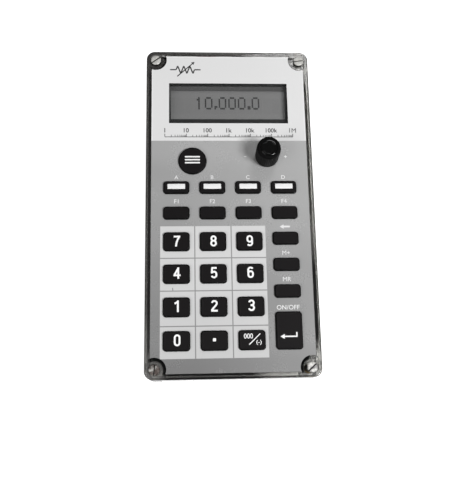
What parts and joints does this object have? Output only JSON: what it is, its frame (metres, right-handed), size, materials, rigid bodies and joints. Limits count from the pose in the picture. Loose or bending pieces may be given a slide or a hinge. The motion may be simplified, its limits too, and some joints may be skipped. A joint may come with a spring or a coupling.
{
  "type": "standard resistance box",
  "caption": "Handheld resistance box with a keypad, a grey display and a setting knob in a clear-lidded plastic case, and binding posts on its end wall.",
  "frame": {"origin": "middle of the underside of the case", "axes": "+X to the right across the keypad, +Y from the keypad end to the display end, +Z out of the face"},
  "size_m": [0.08, 0.1766, 0.0672],
  "materials": {
    "case_plastic": "light grey, fine moulded texture",
    "clear_plastic": "clear, lightly scuffed",
    "gasket_rubber": "smooth",
    "screw_nickel": "bright nickel plate",
    "brass": "turned",
    "face_print": "printed in white and greys, satin",
    "frame_black": "black paint",
    "display_grey": "grey liquid crystal",
    "board_green": "green solder mask",
    "knob_black": "fluted, satin",
    "shaft_steel": "ground",
    "key_black": "satin",
    "bar_white": "smooth",
    "mat_silicone": "matt",
    "relay_white": "smooth",
    "part_epoxy": "dipped",
    "battery_can": "plain wrapped can",
    "clip_black": "smooth",
    "wire_red": "insulated",
    "post_nickel": "nickel plated",
    "sleeve_black": "smooth",
    "cap_red": "fluted",
    "cap_black": "fluted"
  },
  "bodies": {
    "case": {"case_base": "case_plastic", "clear_lid": "clear_plastic", "lid_gasket": "gasket_rubber", "lid_screws": "screw_nickel", "thread_inserts": "brass", "face_panel": "face_print", "display_frame": "frame_black", "display_glass": "display_grey", "display_board": "board_green", "encoder_body": "frame_black", "encoder_nut": "screw_nickel", "dome_mat": "mat_silicone", "main_board": "board_green", "board_screws": "screw_nickel", "relays": "relay_white", "board_parts": "part_epoxy", "battery": "battery_can", "battery_clip": "clip_black", "hookup_wires": "wire_red", "post_sleeves": "sleeve_black", "post_studs": "post_nickel", "post_lugs": "post_nickel", "post_nuts": "post_nickel"},
    "knob": {"knob_body": "knob_black", "knob_cap": "knob_black", "knob_collet": "brass", "encoder_shaft": "shaft_steel"},
    "ring_red": {"clamp_ring_red": "post_nickel"},
    "ring_black": {"clamp_ring_black": "post_nickel"},
    "cap_red": {"post_cap_red": "cap_red"},
    "cap_black": {"post_cap_black": "cap_black"},
    "key_menu": {"key_menu": "key_black"},
    "key_a": {"key_a": "key_black", "bar_a": "bar_white"},
    "key_b": {"key_b": "key_black", "bar_b": "bar_white"},
    "key_c": {"key_c": "key_black", "bar_c": "bar_white"},
    "key_d": {"key_d": "key_black", "bar_d": "bar_white"},
    "key_f1": {"key_f1": "key_black"},
    "key_f2": {"key_f2": "key_black"},
    "key_f3": {"key_f3": "key_black"},
    "key_f4": {"key_f4": "key_black"},
    "key_7": {"key_7": "key_black"},
    "key_8": {"key_8": "key_black"},
    "key_9": {"key_9": "key_black"},
    "key_4": {"key_4": "key_black"},
    "key_5": {"key_5": "key_black"},
    "key_6": {"key_6": "key_black"},
    "key_1": {"key_1": "key_black"},
    "key_2": {"key_2": "key_black"},
    "key_3": {"key_3": "key_black"},
    "key_0": {"key_0": "key_black"},
    "key_point": {"key_point": "key_black"},
    "key_sign": {"key_sign": "key_black"},
    "key_back": {"key_back": "key_black"},
    "key_store": {"key_store": "key_black"},
    "key_recall": {"key_recall": "key_black"},
    "key_enter": {"key_enter": "key_black"}
  },
  "joints": [
    {"name": "knob_turn", "type": "hinge", "parent": "case", "child": "knob", "pos_m": [0.0179, 0.0247, 0.0548], "axis": [0, 0, 1], "continuous": true},
    {"name": "key_menu_press", "type": "slide", "parent": "case", "child": "key_menu", "axis": [0, 0, -1], "range_m": [0, 0.001], "stiffness_N_per_m": 400, "springref_m": -0.0006, "deforming": ["dome_mat"]},
    {"name": "key_a_press", "type": "slide", "parent": "case", "child": "key_a", "axis": [0, 0, -1], "range_m": [0, 0.001], "stiffness_N_per_m": 400, "springref_m": -0.0006, "deforming": ["dome_mat"]},
    {"name": "key_b_press", "type": "slide", "parent": "case", "child": "key_b", "axis": [0, 0, -1], "range_m": [0, 0.001], "stiffness_N_per_m": 400, "springref_m": -0.0006, "deforming": ["dome_mat"]},
    {"name": "key_c_press", "type": "slide", "parent": "case", "child": "key_c", "axis": [0, 0, -1], "range_m": [0, 0.001], "stiffness_N_per_m": 400, "springref_m": -0.0006, "deforming": ["dome_mat"]},
    {"name": "key_d_press", "type": "slide", "parent": "case", "child": "key_d", "axis": [0, 0, -1], "range_m": [0, 0.001], "stiffness_N_per_m": 400, "springref_m": -0.0006, "deforming": ["dome_mat"]},
    {"name": "key_f1_press", "type": "slide", "parent": "case", "child": "key_f1", "axis": [0, 0, -1], "range_m": [0, 0.001], "stiffness_N_per_m": 400, "springref_m": -0.0006, "deforming": ["dome_mat"]},
    {"name": "key_f2_press", "type": "slide", "parent": "case", "child": "key_f2", "axis": [0, 0, -1], "range_m": [0, 0.001], "stiffness_N_per_m": 400, "springref_m": -0.0006, "deforming": ["dome_mat"]},
    {"name": "key_f3_press", "type": "slide", "parent": "case", "child": "key_f3", "axis": [0, 0, -1], "range_m": [0, 0.001], "stiffness_N_per_m": 400, "springref_m": -0.0006, "deforming": ["dome_mat"]},
    {"name": "key_f4_press", "type": "slide", "parent": "case", "child": "key_f4", "axis": [0, 0, -1], "range_m": [0, 0.001], "stiffness_N_per_m": 400, "springref_m": -0.0006, "deforming": ["dome_mat"]},
    {"name": "key_7_press", "type": "slide", "parent": "case", "child": "key_7", "axis": [0, 0, -1], "range_m": [0, 0.001], "stiffness_N_per_m": 400, "springref_m": -0.0006, "deforming": ["dome_mat"]},
    {"name": "key_8_press", "type": "slide", "parent": "case", "child": "key_8", "axis": [0, 0, -1], "range_m": [0, 0.001], "stiffness_N_per_m": 400, "springref_m": -0.0006, "deforming": ["dome_mat"]},
    {"name": "key_9_press", "type": "slide", "parent": "case", "child": "key_9", "axis": [0, 0, -1], "range_m": [0, 0.001], "stiffness_N_per_m": 400, "springref_m": -0.0006, "deforming": ["dome_mat"]},
    {"name": "key_4_press", "type": "slide", "parent": "case", "child": "key_4", "axis": [0, 0, -1], "range_m": [0, 0.001], "stiffness_N_per_m": 400, "springref_m": -0.0006, "deforming": ["dome_mat"]},
    {"name": "key_5_press", "type": "slide", "parent": "case", "child": "key_5", "axis": [0, 0, -1], "range_m": [0, 0.001], "stiffness_N_per_m": 400, "springref_m": -0.0006, "deforming": ["dome_mat"]},
    {"name": "key_6_press", "type": "slide", "parent": "case", "child": "key_6", "axis": [0, 0, -1], "range_m": [0, 0.001], "stiffness_N_per_m": 400, "springref_m": -0.0006, "deforming": ["dome_mat"]},
    {"name": "key_1_press", "type": "slide", "parent": "case", "child": "key_1", "axis": [0, 0, -1], "range_m": [0, 0.001], "stiffness_N_per_m": 400, "springref_m": -0.0006, "deforming": ["dome_mat"]},
    {"name": "key_2_press", "type": "slide", "parent": "case", "child": "key_2", "axis": [0, 0, -1], "range_m": [0, 0.001], "stiffness_N_per_m": 400, "springref_m": -0.0006, "deforming": ["dome_mat"]},
    {"name": "key_3_press", "type": "slide", "parent": "case", "child": "key_3", "axis": [0, 0, -1], "range_m": [0, 0.001], "stiffness_N_per_m": 400, "springref_m": -0.0006, "deforming": ["dome_mat"]},
    {"name": "key_0_press", "type": "slide", "parent": "case", "child": "key_0", "axis": [0, 0, -1], "range_m": [0, 0.001], "stiffness_N_per_m": 400, "springref_m": -0.0006, "deforming": ["dome_mat"]},
    {"name": "key_point_press", "type": "slide", "parent": "case", "child": "key_point", "axis": [0, 0, -1], "range_m": [0, 0.001], "stiffness_N_per_m": 400, "springref_m": -0.0006, "deforming": ["dome_mat"]},
    {"name": "key_sign_press", "type": "slide", "parent": "case", "child": "key_sign", "axis": [0, 0, -1], "range_m": [0, 0.001], "stiffness_N_per_m": 400, "springref_m": -0.0006, "deforming": ["dome_mat"]},
    {"name": "key_back_press", "type": "slide", "parent": "case", "child": "key_back", "axis": [0, 0, -1], "range_m": [0, 0.001], "stiffness_N_per_m": 400, "springref_m": -0.0006, "deforming": ["dome_mat"]},
    {"name": "key_store_press", "type": "slide", "parent": "case", "child": "key_store", "axis": [0, 0, -1], "range_m": [0, 0.001], "stiffness_N_per_m": 400, "springref_m": -0.0006, "deforming": ["dome_mat"]},
    {"name": "key_recall_press", "type": "slide", "parent": "case", "child": "key_recall", "axis": [0, 0, -1], "range_m": [0, 0.001], "stiffness_N_per_m": 400, "springref_m": -0.0006, "deforming": ["dome_mat"]},
    {"name": "key_enter_press", "type": "slide", "parent": "case", "child": "key_enter", "axis": [0, 0, -1], "range_m": [0, 0.001], "stiffness_N_per_m": 400, "springref_m": -0.0006, "deforming": ["dome_mat"]},
    {"name": "red_ring_slide", "type": "slide", "parent": "case", "child": "ring_red", "axis": [0, 1, 0], "range_m": [0, 0.005]},
    {"name": "red_cap_turn", "type": "hinge", "parent": "ring_red", "child": "cap_red", "pos_m": [-0.0095, 0.085, 0.0165], "axis": [0, 1, 0], "range_deg": [0, 1800]},
    {"name": "black_ring_slide", "type": "slide", "parent": "case", "child": "ring_black", "axis": [0, 1, 0], "range_m": [0, 0.005]},
    {"name": "black_cap_turn", "type": "hinge", "parent": "ring_black", "child": "cap_black", "pos_m": [0.0095, 0.085, 0.0165], "axis": [0, 1, 0], "range_deg": [0, 1800]}
  ],
  "couplings": [
    {"joint": "red_cap_turn", "follows": "red_ring_slide", "rad_per_m": 6283.2},
    {"joint": "black_cap_turn", "follows": "black_ring_slide", "rad_per_m": 6283.2}
  ]
}
